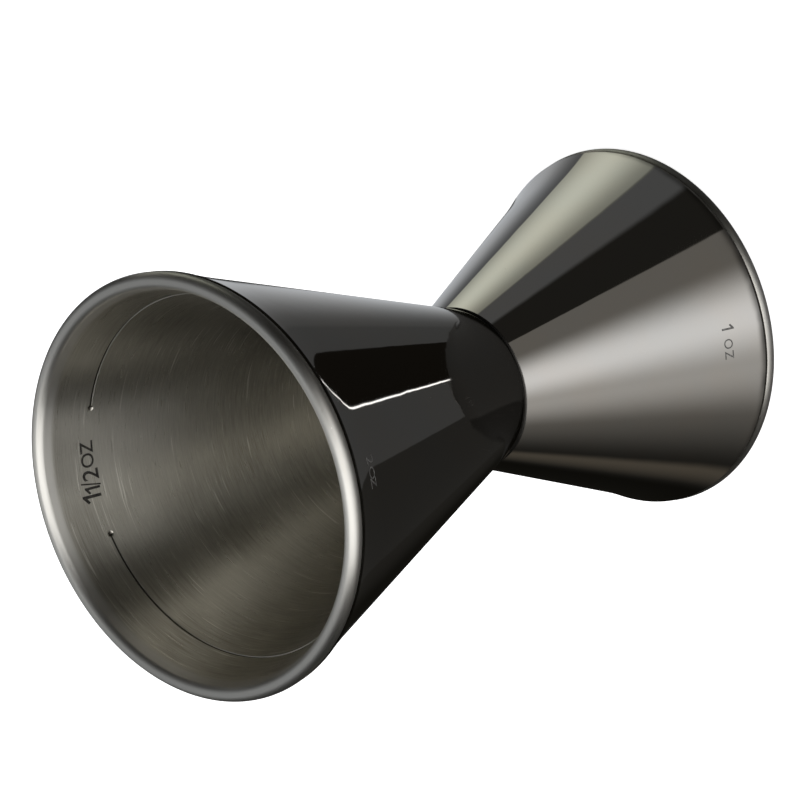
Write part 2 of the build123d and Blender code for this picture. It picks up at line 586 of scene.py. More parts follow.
@dataclass
class CupShape:
    """Section of one cup, with its heights counted from the seam towards its mouth.

    The sizes that both cups share are fields with the CAD model's values.
    """

    rim_radius: float
    height: float
    seam_level: float
    way: Way
    waist_radius: float = 11.0 * MM
    shell_wall: float = 0.7 * MM
    liner_wall: float = 0.7 * MM
    wall_gap: float = 0.8 * MM
    lip_radius: float = 1.15 * MM
    lip_land: float = 0.5 * MM
    flare_length: float = 6.0 * MM
    flare_inset: float = 0.18 * MM
    lip_clearance: float = 0.03 * MM
    shell_corner: float = 0.45 * MM
    liner_corner: float = 2.0 * MM
    floor_braze: float = 0.15 * MM
    waist_braze_setback: float = 0.15 * MM
    lip_braze_root: float = 0.5 * MM
    lip_braze_angle: float = math.radians(38)
    lip_centre: Vector = field(init=False)
    half_angle: float = field(init=False)
    along: Vector = field(init=False)
    inward: Vector = field(init=False)

    def __post_init__(self) -> None:
        """Work out the wall's line from the waist and the rolled lip."""
        crest = math.sqrt(self.lip_radius**2 - (self.lip_land / 2) ** 2)
        self.lip_centre = Vector((self.rim_radius - self.lip_radius, self.height - crest))
        reach = self.lip_centre - Vector((self.waist_radius, 0.0))
        side = math.asin((self.total_wall - self.lip_radius) / reach.length)
        self.half_angle = math.atan2(reach.x, reach.y) + side
        self.along = Vector((math.sin(self.half_angle), math.cos(self.half_angle)))
        self.inward = Vector((-math.cos(self.half_angle), math.sin(self.half_angle)))

    @property
    def total_wall(self) -> float:
        """Thickness of shell, gap and liner together."""
        return self.shell_wall + self.wall_gap + self.liner_wall

    @property
    def edge_level(self) -> float:
        """Height at which the shell stops, just under the rolled lip."""
        return self.lip_centre.y - self.lip_radius - self.lip_clearance

    @property
    def under_level(self) -> float:
        """Height of the shell's underside."""
        return self.floor_braze / 2

    @property
    def between_level(self) -> float:
        """Height of the face between the shell's floor and the liner's."""
        return self.under_level + self.shell_wall

    @property
    def floor_level(self) -> float:
        """Height of the liner's floor."""
        return self.between_level + self.liner_wall

    def wall_point(self, depth: float, level: float) -> Vector:
        """Point on the wall at a depth square to the shell's face, at a height.

        Args:
            depth: How far the point lies inside the shell's outer face.
            level: The point's height.

        Returns:
            The point.
        """
        foot = Vector((self.waist_radius, 0.0)) + self.inward * depth
        return foot + self.along * ((level - foot.y) / self.along.y)

    def corner(self, depth: float, level: float, radius: float, steps: int) -> list[Vector]:
        """Points of the arc between a floor and the wall, from the floor.

        Args:
            depth: The wall face's depth square to the shell's face.
            level: The floor's height.
            radius: The arc's radius.
            steps: How many straight runs stand for the arc.

        Returns:
            The points, both ends included.
        """
        on_wall = self.wall_point(depth, level + radius)
        centre = Vector((on_wall.x - radius / math.cos(self.half_angle), level + radius))
        return arc_points(centre, radius, -math.pi / 2, -self.half_angle, steps)

    def to_frame(self, points: Iterable[Vector]) -> list[Vector]:
        """Carry section points from the cup's own heights into the row frame.

        Args:
            points: The points as (radius, height from the seam).

        Returns:
            The points as (radius, z).
        """
        turn = self.way.value
        return [Vector((max(p.x, 0.0), self.seam_level + turn * p.y)) for p in points]

    @property
    def flare_foot(self) -> Vector:
        """Point of the outer face where the straight wall ends and the flare begins."""
        return self.wall_point(0.0, self.edge_level - self.flare_length)

    @property
    def flare_tip(self) -> Vector:
        """Outermost point of the shell's edge."""
        tip_radius = self.lip_centre.x + self.lip_radius - self.flare_inset
        return Vector((tip_radius, self.edge_level))

    @property
    def flare_bend(self) -> float:
        """Radius of the flare's outer face in the section."""
        chord = self.flare_tip - self.flare_foot
        return chord.length_squared / (2 * chord.dot(-self.inward))

    def outer_point(self, level: float, proud: float) -> Vector:
        """Point on or off the shell's outer face, flare included.

        Args:
            level: The point's height.
            proud: How far it stands off the face.

        Returns:
            The point.
        """
        if level <= self.flare_foot.y:
            return self.wall_point(-proud, level)
        centre = self.flare_foot - self.inward * self.flare_bend
        reach = (self.flare_bend - proud) ** 2 - (level - centre.y) ** 2
        return Vector((centre.x - math.sqrt(reach), level))

    def shell_section(self) -> list[Vector]:
        """Outline of the outer shell, with its flared mouth.

        Returns:
            The outline's points, from the axis.
        """
        foot = self.flare_foot
        tip = self.flare_tip
        bend = self.flare_bend
        centre = foot - self.inward * bend
        start = math.atan2(foot.y - centre.y, foot.x - centre.x)
        end = math.atan2(tip.y - centre.y, tip.x - centre.x)
        inner_bend = bend + self.shell_wall
        lift = (self.edge_level - centre.y) / inner_bend
        inner_end = math.pi - math.asin(lift)
        start = start % (2 * math.pi)
        end = end % (2 * math.pi)
        inner_corner = self.wall_point(self.shell_wall, self.between_level)
        inner_foot = foot + self.inward * self.shell_wall
        corner = self.corner(0.0, self.under_level, self.shell_corner, CORNER_STEPS)
        points = line_points(Vector((0.0, self.under_level)), corner[0], 3)[:-1]
        points += corner[:-1]
        points += line_points(corner[-1], foot, WALL_STEPS)[:-1]
        points += arc_points(centre, bend, start, end, FLARE_STEPS)
        points += arc_points(centre, inner_bend, inner_end, start, 8)[:-1]
        points += line_points(inner_foot, inner_corner, 4)
        points.append(Vector((0.0, self.between_level)))
        return points

    def liner_section(self, fine_levels: Sequence[float] = ()) -> list[Vector]:
        """Outline of the liner with its rolled lip.

        Args:
            fine_levels: Heights on the inner face that get a row of their own.

        Returns:
            The outline's points.
        """
        wall_side = math.pi - self.half_angle
        crest = math.asin(self.lip_land / 2 / self.lip_radius)
        up = math.pi / 2
        inside = arc_points(
            self.lip_centre, self.lip_radius, wall_side, up + crest, LIP_INSIDE_STEPS
        )
        outside = arc_points(
            self.lip_centre, self.lip_radius, up - crest, -up, LIP_OUTSIDE_STEPS
        )
        bore = self.lip_radius - self.liner_wall
        hollow = arc_points(self.lip_centre, bore, -up, wall_side, 24)
        inner = self.corner(self.total_wall, self.floor_level, self.liner_corner, 14)
        outer = self.corner(
            self.shell_wall + self.wall_gap,
            self.between_level,
            self.liner_corner + self.liner_wall,
            8,
        )
        wall = line_points(inner[-1], inside[0], 30)
        wall += [self.wall_point(self.total_wall, level) for level in fine_levels]
        wall.sort(key=lambda point: point.y)
        points = line_points(Vector((0.0, self.floor_level)), inner[0], 6)[:-1]
        points += inner[:-1]
        points += wall[:-1]
        points += inside
        points += outside
        points += hollow
        points += outer[::-1]
        points.append(Vector((0.0, self.between_level)))
        return points

    def lip_braze_section(self) -> list[Vector]:
        """Outline of the braze between the rolled lip and the shell's edge.

        Returns:
            The outline's points.
        """
        root_angle = -math.acos(self.lip_braze_root / self.lip_radius)
        foot = Vector((self.lip_centre.x + self.lip_braze_root, self.edge_level))
        against = arc_points(
            self.lip_centre, self.lip_radius, root_angle, -self.lip_braze_angle, 10
        )
        return [foot] + against + line_points(against[-1], self.flare_tip, 6)[1:]

    def waist_braze_side(self) -> list[Vector]:
        """Half the waist braze's outline, against this cup's shell.

        Returns:
            The points, from the axis outwards.
        """
        arc = self.corner(0.0, self.under_level, self.shell_corner, 4)
        centre = Vector((arc[0].x, self.under_level + self.shell_corner))
        rim = self.waist_radius - self.waist_braze_setback
        end = -math.acos((rim - centre.x) / self.shell_corner)
        wicked = arc_points(centre, self.shell_corner, -math.pi / 2, end, 8)
        return [Vector((0.0, self.under_level))] + wicked


@dataclass
class MeasuringLine:
    """The measuring line inside the large cup, with a break for its number."""

    cup: CupShape
    ounce: float = 29573.5 * MM**3
    ounces: float = 1.5
    width: float = 0.36 * MM
    depth: float = 0.16 * MM
    break_angle: float = math.radians(41)
    pit_radius: float = 0.5 * MM
    pit_depth: float = 0.22 * MM

    @property
    def radius(self) -> float:
        """Inner radius of the cup at the line."""
        slope = math.tan(self.cup.half_angle)
        floor = self.cup.wall_point(self.cup.total_wall, self.cup.floor_level).x
        cube = floor**3 + 3 * self.ounces * self.ounce * slope / math.pi
        return cube ** (1 / 3)

    @property
    def level(self) -> float:
        """Height of the line above the seam."""
        floor = self.cup.wall_point(self.cup.total_wall, self.cup.floor_level)
        return floor.y + (self.radius - floor.x) / math.tan(self.cup.half_angle)

    def fine_levels(self) -> list[float]:
        """Heights of the rows that carry the groove and its pits.

        Returns:
            The heights, from the seam.
        """
        steps = []
        for share in (0.0, 0.5, 1.0):
            steps += [share * self.width / 2, -share * self.width / 2]
        reach = math.sqrt(self.pit_radius**2 - (self.pit_radius - self.pit_depth) ** 2)
        for share in (0.62, 0.75, 0.88, 1.0, 1.1):
            steps += [share * reach, -share * reach]
        upright = math.cos(self.cup.half_angle)
        return [self.level + step * upright for step in sorted(set(steps))]

    def close_ups(self) -> list[tuple[float, float]]:
        """Places round the cup where the pits need fine columns.

        Returns:
            Each place's angle and half width, in radians.
        """
        half_width = 2.2 * self.pit_radius / self.radius
        half_break = self.break_angle / 2
        return [(math.pi - half_break, half_width), (math.pi + half_break, half_width)]

    def press_into(self, liner: bpy.types.Object, finish: bpy.types.Material) -> None:
        """Press the line into a liner's inner face.

        Args:
            liner: The large cup's liner.
            finish: The material the liner keeps.
        """
        values = {
            "Line Radius": self.radius,
            "Line Level": self.cup.seam_level + self.cup.way.value * self.level,
            "Half Angle": self.cup.half_angle,
            "Line Width": self.width,
            "Line Depth": self.depth,
            "Break Angle": self.break_angle,
            "Pit Radius": self.pit_radius,
            "Pit Depth": self.pit_depth,
            "Finish": finish,
        }
        run_tree(liner, measuring_line_tree(), values)
        face_outwards(liner)


# ---------------------------------------------------------------------------
# Finishes
# ---------------------------------------------------------------------------

Colour = tuple[float, float, float, float]


def turned_grain_group() -> bpy.types.NodeTree:
    """Make the group that draws fine lines running round the jigger's axis.

    Returns:
        The shader group, with the lines' height from 0 to 1 and a mask of the deep scratches.
    """
    writer, source, sink = new_group(
        "turned_grain",
        "ShaderNodeTree",
        [
            ("Position", "NodeSocketVector"),
            ("Lines Per Metre", "NodeSocketFloat"),
            ("Breaks Round", "NodeSocketFloat"),
            ("Scratch Level", "NodeSocketFloat"),
        ],
        [("Height", "NodeSocketFloat"), ("Scratches", "NodeSocketFloat")],
    )
    given = source.outputs
    x, y, z = writer.split(given["Position"])
    square = writer.math("MULTIPLY_ADD", y, y, writer.math("MULTIPLY", x, x))
    radius = writer.math("MAXIMUM", writer.math("SQRT", square), 0.1 * MM)
    across = writer.math(
        "MULTIPLY", writer.math("ADD", radius, z), given["Lines Per Metre"]
    )
    round_x = writer.math("MULTIPLY", writer.math("DIVIDE", x, radius), given["Breaks Round"])
    round_y = writer.math("MULTIPLY", writer.math("DIVIDE", y, radius), given["Breaks Round"])
    place = writer.join(round_x, round_y, across)
    lines = writer.add("ShaderNodeTexNoise", noise_dimensions="3D")
    writer.feed(lines.inputs["Vector"], place)
    lines.inputs["Scale"].default_value = 1.0
    lines.inputs["Detail"].default_value = 3.0
    lines.inputs["Roughness"].default_value = 0.62
    rare = writer.add("ShaderNodeTexNoise", noise_dimensions="4D")
    writer.feed(rare.inputs["Vector"], place)
    rare.inputs["W"].default_value = 4.7
    rare.inputs["Scale"].default_value = 0.55
    rare.inputs["Detail"].default_value = 1.0
    start = given["Scratch Level"]
    deep = writer.ramp(rare.outputs[0], start, writer.math("ADD", start, 0.06))
    writer.feed(sink.inputs["Height"], lines.outputs[0])
    writer.feed(sink.inputs["Scratches"], deep)
    return writer.tree


def soft_clouds_group() -> bpy.types.NodeTree:
    """Make the group that gives slow, soft variation over a surface.

    Returns:
        The shader group, with one value from 0 to 1.
    """
    writer, source, sink = new_group(
        "soft_clouds",
        "ShaderNodeTree",
        [
            ("Position", "NodeSocketVector"),
            ("Per Metre", "NodeSocketFloat"),
            ("Seed", "NodeSocketFloat"),
            ("Detail", "NodeSocketFloat", 2.0),
        ],
        [("Value", "NodeSocketFloat")],
    )
    given = source.outputs
    noise = writer.add("ShaderNodeTexNoise", noise_dimensions="4D")
    writer.feed(noise.inputs["Vector"], given["Position"])
    writer.feed(noise.inputs["W"], given["Seed"])
    writer.feed(noise.inputs["Scale"], given["Per Metre"])
    writer.feed(noise.inputs["Detail"], given["Detail"])
    writer.feed(sink.inputs["Value"], writer.ramp(noise.outputs[0], 0.3, 0.7))
    return writer.tree


def fine_specks_group() -> bpy.types.NodeTree:
    """Make the group that scatters tiny specks.

    Returns:
        The shader group, with a mask that is 1 on the specks.
    """
    writer, source, sink = new_group(
        "fine_specks",
        "ShaderNodeTree",
        [
            ("Position", "NodeSocketVector"),
            ("Per Metre", "NodeSocketFloat"),
            ("Size", "NodeSocketFloat"),
            ("Share", "NodeSocketFloat"),
        ],
        [("Mask", "NodeSocketFloat")],
    )
    given = source.outputs
    cells = writer.add("ShaderNodeTexVoronoi", feature="F1")
    writer.feed(cells.inputs["Vector"], given["Position"])
    writer.feed(cells.inputs["Scale"], given["Per Metre"])
    near = writer.ramp(
        cells.outputs["Distance"], given["Size"], writer.math("MULTIPLY", given["Size"], 0.5)
    )
    chosen = writer.math("LESS_THAN", writer.split(cells.outputs["Color"])[0], given["Share"])
    writer.feed(sink.inputs["Mask"], writer.math("MULTIPLY", near, chosen))
    return writer.tree


def small_spot_group() -> bpy.types.NodeTree:
    """Make the group that marks one small soft spot on a piece.

    Returns:
        The shader group, with a mask that is 1 at the spot's middle.
    """
    writer, source, sink = new_group(
        "small_spot",
        "ShaderNodeTree",
        [
            ("Position", "NodeSocketVector"),
            ("Centre", "NodeSocketVector"),
            ("Reach", "NodeSocketVector"),
        ],
        [("Mask", "NodeSocketFloat")],
    )
    given = source.outputs
    away = writer.add("ShaderNodeVectorMath", operation="SUBTRACT")
    writer.feed(away.inputs[0], given["Position"])
    writer.feed(away.inputs[1], given["Centre"])
    share = writer.add("ShaderNodeVectorMath", operation="DIVIDE")
    writer.feed(share.inputs[0], away.outputs[0])
    writer.feed(share.inputs[1], given["Reach"])
    length = writer.add("ShaderNodeVectorMath", operation="LENGTH")
    writer.feed(length.inputs[0], share.outputs[0])
    writer.feed(sink.inputs["Mask"], writer.ramp(length.outputs["Value"], 1.0, 0.4))
    return writer.tree


class EffectKit:
    """The shader groups that the finishes share."""

    def __init__(self) -> None:
        """Build each group once."""
        self.grain = turned_grain_group()
        self.clouds = soft_clouds_group()
        self.specks = fine_specks_group()
        self.spot = small_spot_group()


@dataclass
class Surface:
    """One material being written: its writer, its shader and its coordinates."""

    material: bpy.types.Material
    writer: NodeWriter
    shader: bpy.types.Node
    position: bpy.types.NodeSocket

    @classmethod
    def start(cls, name: str, roughness: float, metallic: float = 1.0) -> "Surface":
        """Begin a material with its constants set on the shader.

        Args:
            name: The material's name.
            roughness: The shader's roughness, where no mask changes it.
            metallic: The shader's metallic value.

        Returns:
            The surface to write effects into.
        """
        material = bpy.data.materials.new(name)
        material.use_nodes = True
        writer = NodeWriter(material.node_tree)
        shader = material.node_tree.nodes["Principled BSDF"]
        shader.inputs["Metallic"].default_value = metallic
        shader.inputs["Roughness"].default_value = roughness
        position = writer.add("ShaderNodeTexCoord").outputs["Object"]
        return cls(material, writer, shader, position)

    def effect(self, group: bpy.types.NodeTree, **values: object) -> bpy.types.Node:
        """Add a shared effect.

        Args:
            group: The effect's group.
            values: What its inputs are set to, with underscores for spaces.

        Returns:
            The group's node.
        """
        node = self.writer.add("ShaderNodeGroup", node_tree=group)
        self.writer.feed(node.inputs["Position"], self.position)
        for title, value in values.items():
            self.writer.feed(node.inputs[title.replace("_", " ")], value)
        return node

    def bump(self, height: object, distance: float, below: object = None) -> object:
        """Add a bump of a height from 0 to 1.

        Args:
            height: The height's socket.
            distance: How far the height of 1 stands out, in metres.
            below: The normal that the bump is laid over, if any.

        Returns:
            The bumped normal.
        """
        node = self.writer.add("ShaderNodeBump")
        node.inputs["Distance"].default_value = distance
        self.writer.feed(node.inputs["Height"], height)
        if below is not None:
            self.writer.feed(node.inputs["Normal"], below)
        return node.outputs[0]


@dataclass(frozen=True)
class MirrorFinish:
    """Dark polished plating of the outer shells."""

    name: str = "black_mirror_plating"
    colour: Colour = (0.40, 0.378, 0.35, 1.0)
    cool: Colour = (0.39, 0.38, 0.362, 1.0)
    roughness: float = 0.03
    smudge_roughness: float = 0.075
    ripple: float = 0.002 * MM
    ripples_per_metre: float = 420.0
    # Painted shade: the plating turns nearly black within this reach of the waist, standing in for
    # the shade in the crevice between the cups.
    crevice_painted_shade: Colour = (0.035, 0.033, 0.03, 1.0)
    painted_shade_reach: float = 0.34 * MM

    def build(self, kit: EffectKit, waist: float) -> bpy.types.Material:
        """Make the material.

        Args:
            kit: The shared effects.
            waist: Level of the waist, round which the plating is painted nearly black as shade in
                the crevice and made rougher.

        Returns:
            The material.
        """
        surface = Surface.start(self.name, self.roughness)
        writer = surface.writer
        tint = surface.effect(kit.clouds, Per_Metre=95.0, Seed=1.3, Detail=3.0)
        smudge = surface.effect(kit.clouds, Per_Metre=60.0, Seed=7.9, Detail=4.0)
        dust = surface.effect(kit.specks, Per_Metre=420.0, Size=0.035, Share=0.06)
        ripple = surface.effect(kit.clouds, Per_Metre=self.ripples_per_metre, Seed=3.1, Detail=0.0)
        plating = writer.blend(tint.outputs["Value"], self.colour, self.cool)
        worn = writer.math("POWER", smudge.outputs["Value"], 3.0)
        rough = writer.between(worn, self.roughness, self.smudge_roughness)
        rough = writer.between(dust.outputs["Mask"], rough, 0.35)
        # Painted shade: near the waist the plating is painted nearly black and made rougher,
        # standing in for the shade in the crevice between the cups.
        level = writer.split(surface.position)[2]
        away = writer.math("ABSOLUTE", writer.math("SUBTRACT", level, waist))
        inside = writer.ramp(away, self.painted_shade_reach, self.painted_shade_reach * 0.75)
        plating = writer.blend(inside, plating, self.crevice_painted_shade)
        rough = writer.between(inside, rough, 0.45)
        writer.feed(surface.shader.inputs["Base Color"], plating)
        writer.feed(surface.shader.inputs["Roughness"], rough)
        normal = surface.bump(ripple.outputs["Value"], self.ripple)
        writer.feed(surface.shader.inputs["Normal"], normal)
        return surface.material


@dataclass(frozen=True)
class BrushedFinish:
    """Brushed liners with their polished rolled lips."""

    name: str = "brushed_liner_steel"
    colour: Colour = (0.45, 0.433, 0.384, 1.0)
    bright: Colour = (0.70, 0.68, 0.62, 1.0)
    shade: Colour = (0.225, 0.212, 0.182, 1.0)
    lip: Colour = (0.43, 0.421, 0.398, 1.0)
    # Painted shade: the colour that darkens the pressed measuring line and its pits.
    groove: Colour = (0.05, 0.046, 0.04, 1.0)
    nick_colour: Colour = (0.08, 0.07, 0.06, 1.0)
    roughness: float = 0.30
    lip_roughness: float = 0.38
    anisotropy: float = 0.72
    lip_depth: float = 2.3 * MM
    grain_depth: float = 0.0016 * MM
    scratch_depth: float = 0.004 * MM

    def build(
        self, kit: EffectKit, name: str, shape: "CupShape", nick: Optional[Vector] = None
    ) -> bpy.types.Material:
        """Make the material for one cup.

        Args:
            kit: The shared effects.
            name: The cup's name.
            shape: The cup, whose mouth tells where the polished lip is.
            nick: Where the lip has a small nick, if it has one.

        Returns:
            The material.
        """
        surface = Surface.start(f"{self.name}_{name}", self.roughness)
        writer = surface.writer
        surface.shader.inputs["Anisotropic"].default_value = self.anisotropy
        surface.shader.inputs["Anisotropic Rotation"].default_value = 0.25
        round_way = writer.add("ShaderNodeTangent", direction_type="RADIAL", axis="Z")
        writer.feed(surface.shader.inputs["Tangent"], round_way.outputs[0])
        fine = surface.effect(
            kit.grain, Lines_Per_Metre=6600.0, Breaks_Round=5.0, Scratch_Level=0.665
        )
        broad = surface.effect(
            kit.grain, Lines_Per_Metre=1500.0, Breaks_Round=2.4, Scratch_Level=0.7
        )
        clouds = surface.effect(kit.clouds, Per_Metre=70.0, Seed=5.2)
        specks = surface.effect(kit.specks, Per_Metre=330.0, Size=0.03, Share=0.1)
        level = writer.split(surface.position)[2]
        mouth = shape.seam_level + shape.way.value * shape.height
        inward = writer.math("ABSOLUTE", writer.math("SUBTRACT", level, mouth))
        on_lip = writer.ramp(inward, self.lip_depth, self.lip_depth * 0.6)
        grain = writer.between(0.3, fine.outputs["Height"], broad.outputs["Height"])
        tone = writer.ramp(grain, 0.3, 0.72, False)
        steel = writer.blend(tone, self.shade, self.colour)
        steel = writer.blend(
            writer.math("MULTIPLY", clouds.outputs["Value"], 0.3), steel, self.bright
        )
        steel = writer.blend(
            writer.math("MULTIPLY", fine.outputs["Scratches"], 0.6), steel, self.bright
        )
        lip = writer.blend(writer.math("MULTIPLY", tone, 0.4), self.lip, self.colour)
        steel = writer.blend(on_lip, steel, lip)
        steel = writer.blend(specks.outputs["Mask"], steel, self.bright)
        # Painted shade: the pressed groove and its pits are painted dark, more so where each point
        # was pressed deeper.
        pressed = writer.add("ShaderNodeAttribute", attribute_name=PRESSED)
        sunk = writer.ramp(pressed.outputs["Fac"], 0.2, 1.1)
        steel = writer.blend(sunk, steel, self.groove)
        rough = writer.math("MULTIPLY_ADD", tone, -0.1, self.roughness + 0.05)
        polished = writer.math("MULTIPLY_ADD", tone, 0.08, self.lip_roughness - 0.03)
        rough = writer.between(on_lip, rough, polished)
        height = writer.math("MULTIPLY", grain, writer.between(on_lip, 1.0, 0.3))
        normal = surface.bump(height, self.grain_depth)
        normal = surface.bump(fine.outputs["Scratches"], self.scratch_depth, normal)
        if nick is not None:
            spot = surface.effect(
                kit.spot, Centre=nick, Reach=(0.45 * MM, 0.9 * MM, 0.5 * MM)
            )
            steel = writer.blend(spot.outputs["Mask"], steel, self.nick_colour)
        writer.feed(surface.shader.inputs["Base Color"], steel)
        writer.feed(surface.shader.inputs["Roughness"], rough)
        writer.feed(surface.shader.inputs["Normal"], normal)
        return surface.material


@dataclass(frozen=True)
class BrazeFinish:
    """Polished filler metal at the joints."""

    name: str = "polished_braze"
    colour: Colour = (0.44, 0.42, 0.39, 1.0)
    shade: Colour = (0.26, 0.24, 0.21, 1.0)
    roughness: float = 0.14

    def build(self, kit: EffectKit) -> bpy.types.Material:
        """Make the material.

        Args:
            kit: The shared effects.

        Returns:
            The material.
        """
        surface = Surface.start(self.name, self.roughness)
        writer = surface.writer
        flow = surface.effect(kit.clouds, Per_Metre=480.0, Seed=2.4, Detail=3.0)
        grain = surface.effect(
            kit.grain, Lines_Per_Metre=3000.0, Breaks_Round=8.0, Scratch_Level=0.75
        )
        metal = writer.blend(flow.outputs["Value"], self.shade, self.colour)
        rough = writer.math(
            "MULTIPLY_ADD", grain.outputs["Height"], 0.12, self.roughness - 0.05
        )
        writer.feed(surface.shader.inputs["Base Color"], metal)
        writer.feed(surface.shader.inputs["Roughness"], rough)
        normal = surface.bump(flow.outputs["Value"], 0.004 * MM)
        writer.feed(surface.shader.inputs["Normal"], normal)
        return surface.material


@dataclass(frozen=True)
class MarkFinish:
    """Stamped and darkened numbers."""

    name: str
    colour: Colour
    edge: Colour
    roughness: float
    metallic: float = 0.6

    def build(self, kit: EffectKit) -> bpy.types.Material:
        """Make the material.

        Args:
            kit: The shared effects.

        Returns:
            The material.
        """
        surface = Surface.start(self.name, self.roughness, self.metallic)
        writer = surface.writer
        wear = surface.effect(kit.clouds, Per_Metre=2600.0, Seed=8.3, Detail=3.0)
        patchy = writer.math("POWER", wear.outputs["Value"], 2.0)
        writer.feed(
            surface.shader.inputs["Base Color"], writer.blend(patchy, self.colour, self.edge)
        )
        normal = surface.bump(wear.outputs["Value"], 0.01 * MM)
        writer.feed(surface.shader.inputs["Normal"], normal)
        return surface.material


WAIST_BRAZE = BrazeFinish("waist_braze", (0.22, 0.21, 0.2, 1.0), (0.12, 0.115, 0.11, 1.0))
DARK_STAMP = MarkFinish("dark_stamp", (0.012, 0.011, 0.010, 1.0), (0.05, 0.045, 0.04, 1.0), 0.5)
FAINT_STAMP = MarkFinish("faint_stamp", (0.07, 0.068, 0.064, 1.0), (0.16, 0.155, 0.15, 1.0), 0.32)


# ---------------------------------------------------------------------------
# Sub-assemblies
# ---------------------------------------------------------------------------


@dataclass
class Cup:
    """One cup: outer shell, liner with rolled lip, and the braze between them."""

    name: str
    shape: CupShape
    line: Optional[MeasuringLine] = None

    def build(
        self,
        lathe: Lathe,
        mirror: bpy.types.Material,
        brushed: bpy.types.Material,
        braze: bpy.types.Material,
    ) -> list[bpy.types.Object]:
        """Turn the cup's pieces and fix them to the frame.

        Args:
            lathe: What turns the sections.
            mirror: The shell's material.
            brushed: The liner's material.
            braze: The braze's material.

        Returns:
            The pieces.
        """
        even = turn_angles(SEGMENTS)
        levels = self.line.fine_levels() if self.line else ()
        angles = turn_angles(SEGMENTS, self.line.close_ups()) if self.line else even
        made = []
        for part, section, columns, finish, slot in (
            ("shell", self.shape.shell_section(), even, mirror, Slot.MIRROR),
            ("liner", self.shape.liner_section(levels), angles, brushed, Slot.BRUSHED),
            ("lip_braze", self.shape.lip_braze_section(), even, braze, Slot.BRAZE),
        ):
            node = f"{self.name}_{part}"
            piece = lathe.turn(node + "_turned", self.shape.to_frame(section), columns, finish)
            if part == "liner" and self.line:
                self.line.press_into(piece, finish)
            settle(piece, node)
            made.append(piece)
        return made


def settle(piece: bpy.types.Object, node: Optional[str]) -> None:
    """Fix a finished piece to the frame.

    Args:
        piece: The finished piece.
        node: The CAD node it stands for, or None.
    """
    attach(piece, "root")
    if node:
        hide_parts(node)
    log.info("%s: %d faces", piece.name, len(piece.data.polygons))


@dataclass
class Waist:
    """The braze that joins the two cups floor to floor."""

    large: CupShape
    small: CupShape

    def build(self, lathe: Lathe, finish: bpy.types.Material) -> bpy.types.Object:
        """Turn the braze.

        Args:
            lathe: What turns the section.
            finish: The braze's material.

        Returns:
            The piece.
        """
        upper = self.large.to_frame(self.large.waist_braze_side())
        lower = self.small.to_frame(self.small.waist_braze_side())
        piece = lathe.turn(
            "waist_braze_turned", upper + lower[::-1], turn_angles(SEGMENTS), finish
        )
        settle(piece, "waist_braze")
        return piece


@dataclass(frozen=True)
class Glyph:
    """One character of a mark: where its middle stands along the line, and its height."""

    text: str
    middle: float
    height: float
    base: float = 0.0
    width: float = 0.0


